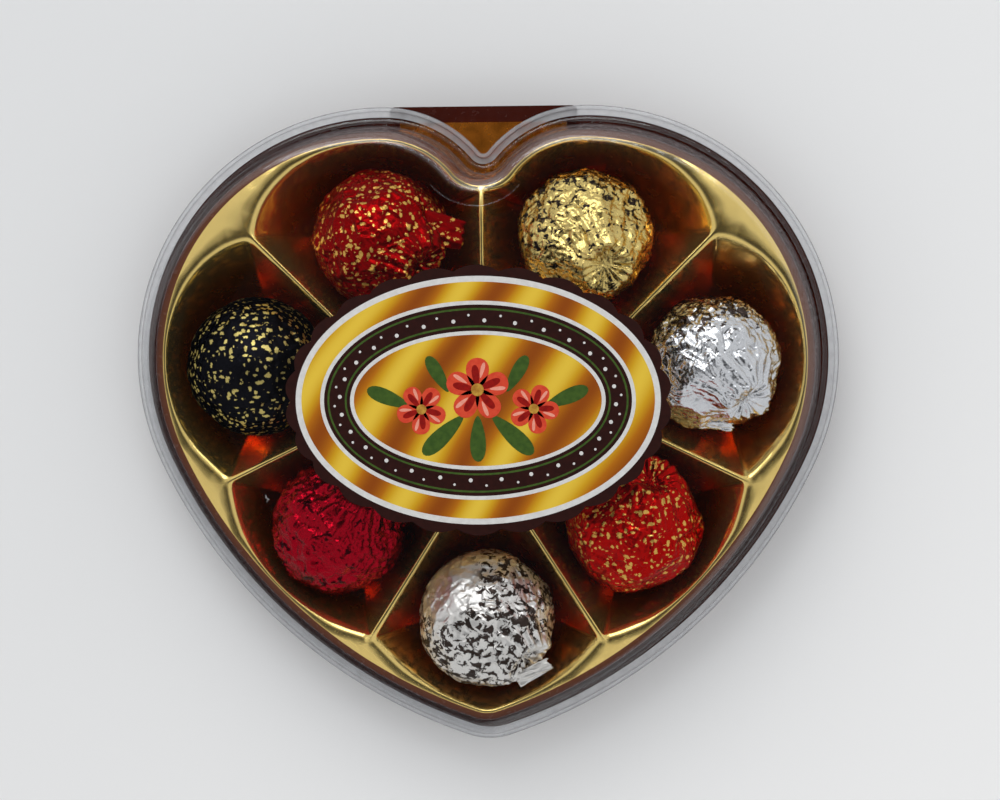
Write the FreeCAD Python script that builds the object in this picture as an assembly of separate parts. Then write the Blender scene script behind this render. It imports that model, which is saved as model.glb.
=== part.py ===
import FreeCAD, Part
import math
import os
from FreeCAD import Placement, Rotation, Vector

# A heart-shaped chocolate box lying on its base: brown base pan, gold cavity tray, foil-wrapped
# pralines and a clear lift-off lid with a label. Millimetres, X across the lobes, Y from the tip
# to the lobes, Z up out of the lid's face.

# Heart outline, at the outer edge of the lid's brim; the shares are of its width
HEART_WIDTH = 150.0
LOBE_SPACING_SHARE = 0.2867
INNER_LOBE_SHARE = 0.1787
FLANK_SHARE = 0.7467
FLANK_START_DEG = 25.0
TIP_SHARE = 0.0933
NOTCH_RADIUS = 1.2

# Base pan
BASE_HEIGHT = 10.0
BASE_WALL = 0.8
BASE_TAPER = 1.5
BASE_CORNER_RADIUS = 1.6
FOOT_WIDTH = 6.0
FOOT_HEIGHT = 0.8
TAB_WIDTH = 40.0
TAB_THICKNESS = 1.4
TAB_CORNER_RADIUS = 1.2

# Gold cavity tray
SHEET = 0.4
TRAY_RISE = 10.0
CAMBER_WIDTH = 5.0
CAMBER_DROP = 1.8
RIM_LAND = 1.2
RIDGE_WIDTH = 1.6
HUB_GAP = 4.2
FLOOR_SHARE = 0.83
POCKET_CLEARANCE = 0.2
BOUNDARY_POINTS = 9
BULGE_POWER = 4.0

# Seats of the pralines inside the pockets' rim: share of its half width off the heart's axis, and of
# its height above its lowest point
TOP_SEAT_SHARES = (0.3147, 0.829)
SIDE_SEAT_SHARES = (0.707, 0.608)
LOWER_SEAT_SHARES = (0.463, 0.3265)
BOTTOM_SEAT_SHARES = (0.0, 0.164)

# How far each ridge stops short of the rim, as a share of a praline's radius
NOTCH_STOP_SHARE = 0.028
UPPER_STOP_SHARE = 0.59
SIDE_STOP_SHARE = 0.417
LOWER_STOP_SHARE = 0.278

# Clear lid
LID_WALL = 0.8
LID_DRAFT = 2.0
BRIM_WIDTH = 3.3
BRIM_THICKNESS = 0.9
BEAD_WIDTH = 0.9
BEAD_HEIGHT = 0.7
FACE_RADIUS = 2.8
LID_HEADROOM = 2.3
SEAT_OVERLAP = 0.7
PLUG_CLEARANCE = 0.35

# Label on the lid's face: shares of the heart's width, and of its height above the tip
LABEL_WIDTH_SHARE = 0.533
LABEL_HEIGHT_SHARE = 0.373
LABEL_PLACE_SHARE = 0.553
LABEL_SCALLOPS = 26
LABEL_SCALLOP_DEPTH = 1.2
LABEL_THICKNESS = 0.15

# Pralines, whose radius is a share of the heart's width; the gather's shares are of that radius
PRALINE_SHARE = 0.096
FOIL = 0.3
LAYER_GAP = 0.1
COAT_THICKNESS = 3.6
GATHER_REACH_SHARE = 1.09
GATHER_START_DEG = 52.0
GATHER_END_SHARE = 0.389
PLEATS = 18
PLEAT_DEPTH_START = 0.35
PLEAT_DEPTH_END = 0.9
SEAT_GAP = 0.1

# Where each praline's gathered end points: turn about Z and tilt above the horizontal
GATHER_DIRECTIONS = {
    "top_left": (-32.0, 38.0),
    "top_right": (-50.0, 58.0),
    "left": (160.0, -90.0),
    "right": (-45.0, 40.0),
    "lower_left": (55.0, 40.0),
    "lower_right": (70.0, 35.0),
    "bottom": (-42.0, 32.0),
}

# Points that the heart outline is drawn from, before it is centred
lobe_x = HEART_WIDTH * LOBE_SPACING_SHARE / 2
lobe_radius = HEART_WIDTH / 2 - lobe_x
inner_lobe_radius = HEART_WIDTH * INNER_LOBE_SHARE
flank_radius = HEART_WIDTH * FLANK_SHARE
tip_radius = HEART_WIDTH * TIP_SHARE
flank_start = math.radians(FLANK_START_DEG)
flank_reach = flank_radius - lobe_radius
flank_centre = Vector(lobe_x - flank_reach * math.cos(flank_start), flank_reach * math.sin(flank_start))
tip_centre_drop = math.sqrt((flank_radius - tip_radius) ** 2 - flank_centre.x ** 2)
tip_centre = Vector(0, flank_centre.y - tip_centre_drop)
heart_height = lobe_radius - tip_centre.y + tip_radius

# The heart is centred, so that its tip and its lobes' tops lie equally far from the origin
lobe_centre = Vector(lobe_x, heart_height / 2 - lobe_radius)
flank_centre.y += lobe_centre.y
tip_centre.y += lobe_centre.y
heart_top = heart_height / 2
heart_tip = -heart_height / 2
inner_lobe_centre = Vector(lobe_x, heart_top - inner_lobe_radius)
notch_rise = math.sqrt((inner_lobe_radius + NOTCH_RADIUS) ** 2 - lobe_x ** 2)
notch_centre = Vector(0, inner_lobe_centre.y + notch_rise)

# Levels, insets from the brim's outer edge, and the pralines' size
praline_radius = HEART_WIDTH * PRALINE_SHARE
floor_radius = praline_radius * FLOOR_SHARE
seat_inset = BRIM_WIDTH + LID_WALL - SEAT_OVERLAP
flange_top = BASE_HEIGHT + SHEET
tray_top = flange_top + TRAY_RISE
pocket_floor = FOOT_HEIGHT + BASE_WALL + POCKET_CLEARANCE + SHEET
gather_reach = praline_radius * GATHER_REACH_SHARE
gather_end_radius = praline_radius * GATHER_END_SHARE
lid_inner_top = pocket_floor + SEAT_GAP + praline_radius + math.hypot(gather_reach, gather_end_radius)
lid_inner_top += LID_HEADROOM
lid_top = lid_inner_top + LID_WALL
wall_slope = LID_DRAFT / (lid_top - flange_top)
camber_foot = tray_top - CAMBER_DROP


def plug_inset(z):
    """Inset of the tray's outer wall at a height, a clearance inside the lid's wall."""
    return BRIM_WIDTH + LID_WALL + PLUG_CLEARANCE + wall_slope * (z - flange_top)


rim_inset = plug_inset(camber_foot) + SHEET + RIM_LAND


def mirrored(point):
    """The same point on the left half of the heart."""
    return Vector(-point.x, point.y, point.z)


def at_angle(centre, radius, degrees):
    """Point on a circle, counted anticlockwise from +X."""
    angle = math.radians(degrees)
    return Vector(centre.x + radius * math.cos(angle), centre.y + radius * math.sin(angle))


def arc(start, middle, end):
    """Arc edge through three points."""
    return Part.Arc(start, middle, end).toShape()


def arc_about(centre, radius, start, end):
    """Arc edge of under half a turn about a centre, between two of its points."""
    bisector = (start - centre).normalize() + (end - centre).normalize()
    return arc(start, centre + bisector.normalize() * radius, end)


def heart_wire(inset, z, bridged=False):
    """Heart outline moved inwards by an inset; bridged closes the notch with a straight edge."""
    notch_reach = NOTCH_RADIUS + inset
    tip_reach = tip_radius - inset
    notch_end = notch_centre + (inner_lobe_centre - notch_centre).normalize() * notch_reach
    lobe_top = Vector(lobe_x, heart_top - inset)
    flank_top = at_angle(lobe_centre, lobe_radius - inset, -FLANK_START_DEG)
    tip_end = tip_centre + (tip_centre - flank_centre).normalize() * tip_reach
    tip = Vector(0, tip_centre.y - tip_reach)
    right_side = [
        (inner_lobe_centre, inner_lobe_radius - inset, notch_end, lobe_top),
        (lobe_centre, lobe_radius - inset, lobe_top, flank_top),
        (flank_centre, flank_radius - inset, flank_top, tip_end),
    ]
    if bridged:
        right_side = right_side[1:]
        top_edge = Part.makeLine(mirrored(lobe_top), lobe_top)
    else:
        top_edge = arc(mirrored(notch_end), Vector(0, notch_centre.y - notch_reach), notch_end)
    edges = [top_edge]
    for centre, radius, start, end in right_side:
        edges.append(arc_about(centre, radius, start, end))
    edges.append(arc(tip_end, tip, mirrored(tip_end)))
    for centre, radius, start, end in reversed(right_side):
        edges.append(arc_about(mirrored(centre), radius, mirrored(end), mirrored(start)))
    wire = Part.Wire(edges)
    wire.translate(Vector(0, 0, z))
    return wire


def drafted(bottom, top):
    """Solid with straight drafted walls between two outlines."""
    return Part.makeLoft([bottom, top], True, True)


def slab(wire, height):
    """Upright solid on an outline."""
    return Part.Face(wire).extrude(Vector(0, 0, height))


def edges_at(shape, z):
    """Edges that lie flat at one height."""
    return [e for e in shape.Edges if abs(e.BoundBox.ZMin - z) < 1e-4 and abs(e.BoundBox.ZMax - z) < 1e-4]


def base_pan():
    """Brown pan under the tray, standing on a ring round its raised panel, with a pry tab in the notch."""
    foot_inset = seat_inset + BASE_TAPER
    outside = drafted(heart_wire(foot_inset, 0, True), heart_wire(seat_inset, BASE_HEIGHT, True))
    outside = outside.makeFillet(BASE_CORNER_RADIUS, edges_at(outside, 0))
    inside_bottom = heart_wire(foot_inset + BASE_WALL, BASE_WALL, True)
    inside = drafted(inside_bottom, heart_wire(seat_inset + BASE_WALL, BASE_HEIGHT, True))
    panel_inset = foot_inset + FOOT_WIDTH
    panel = slab(heart_wire(panel_inset - BASE_WALL, BASE_WALL, True), FOOT_HEIGHT)
    recess = slab(heart_wire(panel_inset, 0, True), FOOT_HEIGHT)
    pan = outside.cut(inside.cut(panel)).cut(recess)
    tab_depth = seat_inset + BASE_WALL
    tab = Part.makeBox(TAB_WIDTH, tab_depth, TAB_THICKNESS)
    tab.translate(Vector(-TAB_WIDTH / 2, heart_top - tab_depth, BASE_HEIGHT - TAB_THICKNESS))
    outer_corners = [
        e for e in tab.Edges
        if abs(e.BoundBox.YMin - heart_top) < 1e-4 and e.BoundBox.ZLength > TAB_THICKNESS / 2
    ]
    tab = tab.makeFillet(TAB_CORNER_RADIUS, outer_corners)
    return pan.fuse(tab).removeSplitter()


def seat_point(shares, side):
    """Centre of a pocket's floor: side is 1 on the right, -1 on the left."""
    half_width = HEART_WIDTH / 2 - rim_inset
    height = heart_height - 2 * rim_inset
    return Vector(side * half_width * shares[0], heart_tip + rim_inset + height * shares[1])


# Pockets anticlockwise from the notch, each with the ridge on its clockwise side
POCKETS = [
    ("top_left", seat_point(TOP_SEAT_SHARES, -1), NOTCH_STOP_SHARE),
    ("left", seat_point(SIDE_SEAT_SHARES, -1), UPPER_STOP_SHARE),
    ("lower_left", seat_point(LOWER_SEAT_SHARES, -1), SIDE_STOP_SHARE),
    ("bottom", seat_point(BOTTOM_SEAT_SHARES, 1), LOWER_STOP_SHARE),
    ("lower_right", seat_point(LOWER_SEAT_SHARES, 1), LOWER_STOP_SHARE),
    ("right", seat_point(SIDE_SEAT_SHARES, 1), SIDE_STOP_SHARE),
    ("top_right", seat_point(TOP_SEAT_SHARES, 1), UPPER_STOP_SHARE),
]

# The hub lies in the middle of the seats, a gap away from the nearest praline
hub_centre = Vector(0, sum(seat.y for _, seat, _ in POCKETS) / len(POCKETS))
hub_radius = min((seat - hub_centre).Length for _, seat, _ in POCKETS) - praline_radius - HUB_GAP


def hit(wire, origin, direction):
    """Where a ray in the plane of an outline meets it."""
    ray = Part.makeLine(origin, origin + direction * 2 * HEART_WIDTH)
    return ray.section(wire).Vertexes[0].Point


def hub_corner(point, direction):
    """Where a line running inwards meets the hub's circle."""
    offset = point - hub_centre
    along = offset.dot(direction)
    return point - direction * (along + math.sqrt(hub_radius ** 2 - offset.dot(offset) + along ** 2))


def ridge(index):
    """Outward direction of the ridge before a pocket, and its outer end."""
    before = POCKETS[index - 1][1]
    seat = POCKETS[index][1]
    middle = (before + seat) * 0.5
    across = (seat - before).normalize()
    outward = Vector(across.y, -across.x)
    stop = praline_radius * POCKETS[index][2]
    end = hit(heart_wire(rim_inset, 0), middle, outward) - outward * stop
    return outward, end


def pocket(index, grow):
    """Pocket from its petal-shaped mouth down to its round floor, grown on every side by grow."""
    seat = POCKETS[index][1]
    rim = heart_wire(rim_inset, 0)
    side_gap = RIDGE_WIDTH / 2 - grow
    outward_a, end_a = ridge(index)
    outward_b, end_b = ridge((index + 1) % len(POCKETS))
    inward_shift_a = Vector(-outward_a.y, outward_a.x) * side_gap
    inward_shift_b = Vector(outward_b.y, -outward_b.x) * side_gap
    mouth_a = end_a + inward_shift_a
    mouth_b = end_b + inward_shift_b
    start = math.atan2(mouth_a.y - seat.y, mouth_a.x - seat.x)
    turn = (math.atan2(mouth_b.y - seat.y, mouth_b.x - seat.x) - start) % (2 * math.pi)
    ray_a = (mouth_a - seat).normalize()
    ray_b = (mouth_b - seat).normalize()
    stop_a = (hit(rim, seat, ray_a) - mouth_a).Length
    stop_b = (hit(rim, seat, ray_b) - mouth_b).Length
    points = []
    for step in range(BOUNDARY_POINTS):
        share = step / (BOUNDARY_POINTS - 1)
        direction = Vector(math.cos(start + turn * share), math.sin(start + turn * share))
        stop = stop_a * (1 - share) ** BULGE_POWER + stop_b * share ** BULGE_POWER
        points.append(hit(rim, seat, direction) + direction * (grow - stop))
    outer = Part.BSplineCurve()
    outer.interpolate(points)
    hub_a = hub_corner(points[0], outward_a * -1)
    hub_b = hub_corner(points[-1], outward_b * -1)
    inner_radius = hub_radius - grow
    hub_a = hub_centre + (hub_a - hub_centre).normalize() * inner_radius
    hub_b = hub_centre + (hub_b - hub_centre).normalize() * inner_radius
    corners = [points[0], points[-1], hub_b, hub_a]
    mouth = Part.Wire([
        outer.toShape(),
        Part.makeLine(points[-1], hub_b),
        arc_about(hub_centre, inner_radius, hub_b, hub_a),
        Part.makeLine(hub_a, points[0]),
    ])
    mouth.translate(Vector(0, 0, tray_top))
    floor_reach = floor_radius + grow
    angles = [math.degrees(math.atan2(c.y - seat.y, c.x - seat.x)) for c in corners]
    floor_edges = []
    for first, last in zip(angles, angles[1:] + angles[:1]):
        sweep = (last - first) % 360
        floor_edges.append(arc(
            at_angle(seat, floor_reach, first),
            at_angle(seat, floor_reach, first + sweep / 2),
            at_angle(seat, floor_reach, first + sweep),
        ))
    floor = Part.Wire(floor_edges)
    floor.translate(Vector(0, 0, pocket_floor - grow))
    return drafted(floor, mouth)


def plug(shrink):
    """Raised middle of the tray: drafted wall and cambered shoulder, shrunk on every side."""
    foot = heart_wire(plug_inset(flange_top) + shrink, flange_top - SHEET)
    shoulder = heart_wire(plug_inset(camber_foot) + shrink, camber_foot - shrink)
    top = heart_wire(plug_inset(camber_foot) + CAMBER_WIDTH + shrink, tray_top - shrink)
    return drafted(foot, shoulder).fuse(drafted(shoulder, top))


def cavity_tray():
    """Gold sheet: flange on the pan's rim, raised plug, and one pocket for each praline."""
    flange = slab(heart_wire(seat_inset, BASE_HEIGHT, True), SHEET)
    flange = flange.cut(slab(heart_wire(plug_inset(flange_top) + SHEET, BASE_HEIGHT), SHEET))
    sheet = plug(0).cut(plug(SHEET)).fuse(flange)
    cups = [pocket(index, SHEET).common(plug_room()) for index in range(len(POCKETS))]
    sheet = sheet.fuse(cups)
    return sheet.cut([pocket(index, 0) for index in range(len(POCKETS))]).removeSplitter()


def plug_room():
    """Everything under the tray's cambered top, down to the pan's floor."""
    skirt = slab(heart_wire(plug_inset(flange_top), 0), flange_top - SHEET)
    return plug(0).fuse(skirt)


def lid_shell():
    """Clear lid: drafted wall, rounded face edge, flat brim with a raised bead along its edge."""
    face_inset = BRIM_WIDTH + LID_DRAFT
    outside = drafted(heart_wire(BRIM_WIDTH, flange_top), heart_wire(face_inset, lid_top))
    outside = outside.makeFillet(FACE_RADIUS, edges_at(outside, lid_top))
    inside_foot = heart_wire(BRIM_WIDTH + LID_WALL, flange_top)
    inside = drafted(inside_foot, heart_wire(face_inset + LID_WALL - wall_slope * LID_WALL, lid_inner_top))
    inside = inside.makeFillet(FACE_RADIUS - LID_WALL, edges_at(inside, lid_inner_top))
    brim = slab(heart_wire(0, flange_top), BRIM_THICKNESS + BEAD_HEIGHT)
    brim = brim.cut(slab(heart_wire(BEAD_WIDTH, flange_top + BRIM_THICKNESS), BEAD_HEIGHT))
    return outside.fuse(brim).cut(inside).removeSplitter()


def lid_label():
    """Scalloped oval label lying on the lid's face."""
    centre = Vector(0, heart_tip + heart_height * LABEL_PLACE_SHARE, lid_top)
    half_width = HEART_WIDTH * LABEL_WIDTH_SHARE / 2
    half_height = HEART_WIDTH * LABEL_HEIGHT_SHARE / 2
    points = []
    for index in range(2 * LABEL_SCALLOPS + 1):
        turn = index * math.pi / LABEL_SCALLOPS
        inset = LABEL_SCALLOP_DEPTH if index % 2 == 0 else 0
        reach = Vector((half_width - inset) * math.cos(turn), (half_height - inset) * math.sin(turn))
        points.append(centre + reach)
    scallops = [arc(*points[first:first + 3]) for first in range(0, 2 * LABEL_SCALLOPS, 2)]
    return slab(Part.Wire(scallops), LABEL_THICKNESS)


def pleated_ring(radius, depth, height):
    """Star-shaped outline of folded foil about the Z axis."""
    points = []
    for index in range(2 * PLEATS):
        reach = radius + (depth if index % 2 == 0 else -depth) / 2
        point = at_angle(Vector(), reach, index * 180 / PLEATS)
        point.z = height
        points.append(point)
    return Part.makePolygon(points + points[:1])


def praline_foil():
    """Foil round one praline: a ball drawn into a pleated gather along +Z."""
    start = math.radians(GATHER_START_DEG)
    wide = pleated_ring(praline_radius * math.sin(start), PLEAT_DEPTH_START, praline_radius * math.cos(start))
    narrow = pleated_ring(gather_end_radius, PLEAT_DEPTH_END, gather_reach)
    wrap = Part.makeSphere(praline_radius).fuse(drafted(wide, narrow))
    return wrap.cut(Part.makeSphere(praline_radius - FOIL))


def praline_layers():
    """Nutty coat and soft filling inside the foil, as solids about the origin."""
    coat_radius = praline_radius - FOIL - LAYER_GAP
    hollow_radius = coat_radius - COAT_THICKNESS
    coat = Part.makeSphere(coat_radius).cut(Part.makeSphere(hollow_radius))
    return {"coat": coat, "filling": Part.makeSphere(hollow_radius - LAYER_GAP)}


def pralines():
    """Every layer of every praline, set down in its pocket."""
    layers = {"foil": praline_foil(), **praline_layers()}
    nodes = {}
    for name, seat, _ in POCKETS:
        turn, tilt = GATHER_DIRECTIONS[name]
        pose = Rotation(Vector(0, 0, 1), turn).multiply(Rotation(Vector(0, 1, 0), 90 - tilt))
        wrapped = layers["foil"].copy()
        wrapped.Placement = Placement(Vector(), pose)
        lift = pocket_floor + SEAT_GAP - wrapped.optimalBoundingBox(False, False).ZMin
        for layer, shape in layers.items():
            placed = shape.copy()
            placed.Placement = Placement(seat + Vector(0, 0, lift), pose)
            nodes[f"{name}_praline_{layer}"] = placed
    return nodes


def main():
    nodes = {
        "base_pan": base_pan(),
        "cavity_tray": cavity_tray(),
        "lid_shell": lid_shell(),
        "lid_label": lid_label(),
        **pralines(),
    }
    os.makedirs("parts", exist_ok=True)
    for name, shape in nodes.items():
        shape.exportStep(f"parts/{name}.step")
        print(name, len(shape.Solids), shape.isValid(), round(shape.Volume, 1))


if __name__ == "__main__":
    main()
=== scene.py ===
import math

import bpy
import numpy as np
from mathutils import Matrix, Vector

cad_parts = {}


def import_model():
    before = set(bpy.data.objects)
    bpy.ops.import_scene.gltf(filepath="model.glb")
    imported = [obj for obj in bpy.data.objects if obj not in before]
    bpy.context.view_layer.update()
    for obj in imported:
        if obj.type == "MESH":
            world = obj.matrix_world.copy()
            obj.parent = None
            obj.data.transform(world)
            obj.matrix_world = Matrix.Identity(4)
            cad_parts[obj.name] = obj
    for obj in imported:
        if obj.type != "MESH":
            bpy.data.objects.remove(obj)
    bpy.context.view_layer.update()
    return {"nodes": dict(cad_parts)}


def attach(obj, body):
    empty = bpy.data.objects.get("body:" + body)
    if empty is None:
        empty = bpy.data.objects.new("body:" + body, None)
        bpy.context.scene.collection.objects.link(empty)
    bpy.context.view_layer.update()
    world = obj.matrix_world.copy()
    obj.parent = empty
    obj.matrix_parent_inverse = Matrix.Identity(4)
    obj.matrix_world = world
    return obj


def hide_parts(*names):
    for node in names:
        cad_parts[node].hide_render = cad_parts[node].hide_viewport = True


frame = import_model()

# Sizes in millimetres, which follow the solids. Insets are measured inwards from the heart's outline.

# Heart outline at the edge of the lid's brim: centres and radii of the arcs of its right half
LOBE_X, LOBE_Y, LOBE_R = 21.5, 14.285, 53.5
INNER_Y, INNER_R = 40.98, 26.8
NOTCH_Y, NOTCH_R = 58.92, 1.2
FLANK_X, FLANK_Y, FLANK_R = -31.52, 39.01, 112.0
FLANK_START = -25.0
TIP_Y, TIP_R = -53.785, 14.0

# Lid: heights, and insets of its wall, its brim's bead and the clear part of its brim
LID_INNER_TOP, LID_TOP = 35.669, 36.469
BRIM_TOP, BEAD_TOP, BEAD_WIDTH = 11.3, 12.0, 0.9
INNER_WALL_FOOT, INNER_WALL_TOP = 4.1, 6.04
OUTER_WALL_FOOT, OUTER_WALL_TOP = 3.37, 5.3
CLEAR_FROM, FACE_INSET = 2.1, 13.0

# Tray: flange, raised plug with a cambered border, and pockets round a hub
FLANGE_TOP, FLANGE_INSET = 10.4, 3.4
PLUG_FOOT_INSET, SHOULDER_INSET, SHOULDER_Z = 4.45, 5.08, 18.6
TRAY_TOP, CAMBER_WIDTH, SHEET = 20.4, 8.5, 0.4
RIM_INSET, BORDER_INSET, RIDGE_HALF = 7.3, 6.75, 0.38
POCKET_FLOOR, FLOOR_R, FLOOR_CORNER, LIP_CORNER = 2.2, 11.95, 5.0, 3.0
HUB = np.array([0.0, 3.335])
HUB_R, HUB_LAND_R = 21.43, 18.0

# Rim of the base under the lid's brim
RIM_LOW, RIM_HIGH = 9.2, 9.95
RIM_ROOT, RIM_EDGE, RIM_BEVEL = 3.6, 2.05, 0.25

# Pralines, and the cone of their gathered ends: ACROSS * sine + ALONG * cosine of its angle = AWAY
PRALINE_R, COAT_R, FILLING_R = 14.4, 12.0, 10.4
SEAT_Z, TURNED_SEAT_Z = 16.7, 18.0
GATHER_START, GATHER_END = math.radians(52), 15.6
CONE_ACROSS, CONE_ALONG, CONE_AWAY = 6.83, 5.75, 128.5

# Label: middle, half sizes and scallops, and heights of its layers above the lid's face
LABEL = np.array([0.0, 7.18])
HALF = np.array([39.97, 27.97])
SCALLOPS, SCALLOP_DEPTH = 26, 1.2
CARD_LOW, CARD_TOP, SATIN_TOP, BAND_TOP, PETAL_TOP = 0.003, 0.05, 0.066, 0.085, 0.118

# Pockets: place of each praline, and how far the ridge before its pocket stops short of the rim
SEATS = [
    ("top_left", (-21.5, 40.21), 0.4),
    ("left", (-48.3, 13.2), 8.5),
    ("lower_left", (-31.63, -21.2), 5.4),
    ("bottom", (0.0, -41.06), 4.0),
    ("lower_right", (31.63, -21.2), 4.0),
    ("right", (48.3, 13.2), 4.4),
    ("top_right", (21.5, 40.21), 8.5),
]
POCKETS = len(SEATS)

# Centres of the pralines; the left one stands on its gathered end
SEATED = {name: seat + (TURNED_SEAT_Z if name == "left" else SEAT_Z,) for name, seat, _ in SEATS}


# Mesh helpers

def build(name, verts, faces, material, smooth=True):
    """Mesh object from millimetre points; faces may be an array of quads or lists of corners."""
    data = bpy.data.meshes.new(name)
    data.from_pydata((np.asarray(verts, float) / 1000).tolist(), [], [list(map(int, f)) for f in faces])
    data.validate()
    data.polygons.foreach_set("use_smooth", [smooth] * len(data.polygons))
    data.update()
    obj = bpy.data.objects.new(name, data)
    bpy.context.scene.collection.objects.link(obj)
    data.materials.append(material)
    return obj


def strip(a, b):
    """Quads between two closed rows of vertex numbers."""
    a, b = np.asarray(a), np.asarray(b)
    return np.stack([a, np.roll(a, -1), np.roll(b, -1), b], 1).tolist()


def rounded(points, steps=5):
    """Polyline with its corners rounded; each point is x, z and a corner radius."""
    half_side, whole_side = 0.48, 0.95
    pts = [np.array(p[:2], float) for p in points]
    out = [pts[0]]
    for i in range(1, len(pts) - 1):
        before, after = pts[i - 1] - pts[i], pts[i + 1] - pts[i]
        la, lb = np.linalg.norm(before), np.linalg.norm(after)
        before, after = before / la, after / lb
        half = math.acos(max(-1, min(1, float(before @ after)))) / 2
        free = whole_side if i == len(pts) - 2 else half_side
        reach = min(points[i][2] / max(math.tan(half), 1e-6), half_side * la, free * lb)
        for k in range(steps + 1):
            t = k / steps
            out.append(pts[i] + before * reach * (1 - t) ** 2 + after * reach * t * t)
    out.append(pts[-1])
    return np.array(out)


def heart_outline():
    """Points and outward normals round the lid's brim, anticlockwise from the notch."""
    inner = math.degrees(math.atan2(NOTCH_Y - INNER_Y, -LOBE_X))
    tip = math.degrees(math.atan2(TIP_Y - FLANK_Y, -FLANK_X))
    arcs = [
        (0, NOTCH_Y, NOTCH_R, -90, inner - 180, 14, -1),
        (LOBE_X, INNER_Y, INNER_R, inner, 90, 36, 1),
        (LOBE_X, LOBE_Y, LOBE_R, 90, FLANK_START, 116, 1),
        (FLANK_X, FLANK_Y, FLANK_R, FLANK_START, tip, 92, 1),
        (0, TIP_Y, TIP_R, tip, -90, 12, 1),
    ]
    points, normals = [], []
    for x, y, radius, first, last, count, side in arcs:
        angle = np.radians(np.linspace(first, last, count, endpoint=False))
        unit = np.stack([np.cos(angle), np.sin(angle)], 1)
        points.append(np.array([x, y]) + radius * unit)
        normals.append(side * unit)
    points.append([[0, TIP_Y - TIP_R]])
    normals.append([[0, -1]])
    points, normals = np.concatenate(points), np.concatenate(normals)
    flip = np.array([-1, 1])
    points = np.concatenate([points, points[-2:0:-1] * flip])
    normals = np.concatenate([normals, normals[-2:0:-1] * flip])
    return np.roll(points[::-1], 1, 0), np.roll(normals[::-1], 1, 0)


OUTLINE, NORMALS = heart_outline()
COUNT = len(OUTLINE)


def ring(inset):
    """The heart's outline moved inwards."""
    return OUTLINE - inset * NORMALS


def raised(points, z):
    """Flat points lifted to a height."""
    return np.column_stack([points, np.broadcast_to(z, len(points))])


def inset_at(points):
    """Distance of inner points from the heart's outline."""
    return np.array([np.sqrt(((OUTLINE - p) ** 2).sum(1).min()) for p in points])


def ring_numbers(count):
    """Vertex numbers of rings that follow each other."""
    return [np.arange(COUNT) + k * COUNT for k in range(count)]


def aim(turn, tilt):
    """Unit vector from a turn about Z and a tilt above the horizontal, in degrees."""
    turn, tilt = math.radians(turn), math.radians(tilt)
    return np.array([math.cos(tilt) * math.cos(turn), math.cos(tilt) * math.sin(turn), math.sin(tilt)])


# Materials

def srgb(r, g, b):
    """Screen colour as linear light."""
    shares = [v / 255 for v in (r, g, b)]
    return tuple(v / 12.92 if v < 0.0404 else ((v + 0.055) / 1.055) ** 2.4 for v in shares) + (1.0,)


def material(name, **sockets):
    """New material and its node tree and surface shader, with the shader's constants set."""
    m = bpy.data.materials.new(name)
    m.use_nodes = True
    shader = m.node_tree.nodes["Principled BSDF"]
    for key, value in sockets.items():
        shader.inputs[key.replace("_", " ")].default_value = value
    return m, m.node_tree, shader


def fill(tree, socket, value):
    """Socket set to a constant, or linked to another node's output."""
    if isinstance(value, bpy.types.NodeSocket):
        tree.links.new(value, socket)
    else:
        socket.default_value = value


def add(tree, kind, inputs=None, **props):
    """New node; each input takes a constant or another node's output."""
    node = tree.nodes.new("ShaderNode" + kind)
    for key, value in props.items():
        setattr(node, key, value)
    for key, value in (inputs or {}).items():
        fill(tree, node.inputs[key], value)
    return node


def place(tree):
    """Object coordinates."""
    return add(tree, "TexCoord").outputs["Object"]


def height_at(tree):
    """Height above the table in metres."""
    return add(tree, "SeparateXYZ", {0: place(tree)}).outputs["Z"]


def math_node(tree, operation, a, b=0.0, clamp=False, third=0.0):
    """Result of an operation on up to three values."""
    return add(tree, "Math", {0: a, 1: b, 2: third}, operation=operation, use_clamp=clamp).outputs[0]


def spread(tree, value, low, high, to_low=0.0, to_high=1.0):
    """A value's range mapped to another one."""
    inputs = {"Value": value, "From Min": low, "From Max": high, "To Min": to_low, "To Max": to_high}
    return add(tree, "MapRange", inputs, clamp=True).outputs["Result"]


def mix(tree, factor, a, b):
    """Two colours mixed."""
    node = add(tree, "Mix", data_type="RGBA")
    for socket, value in ((node.inputs[0], factor), (node.inputs[6], a), (node.inputs[7], b)):
        fill(tree, socket, value)
    return node.outputs[2]


def noise(tree, scale, detail=2.0, rough=0.5, twist=0.0):
    """Cloudy pattern in object coordinates."""
    inputs = {"Scale": scale, "Detail": detail, "Roughness": rough, "Distortion": twist}
    inputs["Vector"] = place(tree)
    return add(tree, "TexNoise", inputs)


def bump(tree, shader, height, strength, distance):
    """Fine relief of a surface."""
    node = add(tree, "Bump", {"Height": height, "Strength": strength, "Distance": distance})
    tree.links.new(node.outputs["Normal"], shader.inputs["Normal"])


def shaken(tree, scale, reach):
    """Object coordinates stirred by noise, so that patterns get ragged edges."""
    stir = noise(tree, scale, 2.0).outputs["Color"]
    stir = add(tree, "VectorMath", {0: stir, 1: (0.5, 0.5, 0.5)}, operation="SUBTRACT")
    stir = add(tree, "VectorMath", {0: stir.outputs[0], "Scale": reach}, operation="SCALE")
    return add(tree, "VectorMath", {0: place(tree), 1: stir.outputs[0]}, operation="ADD").outputs[0]


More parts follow.
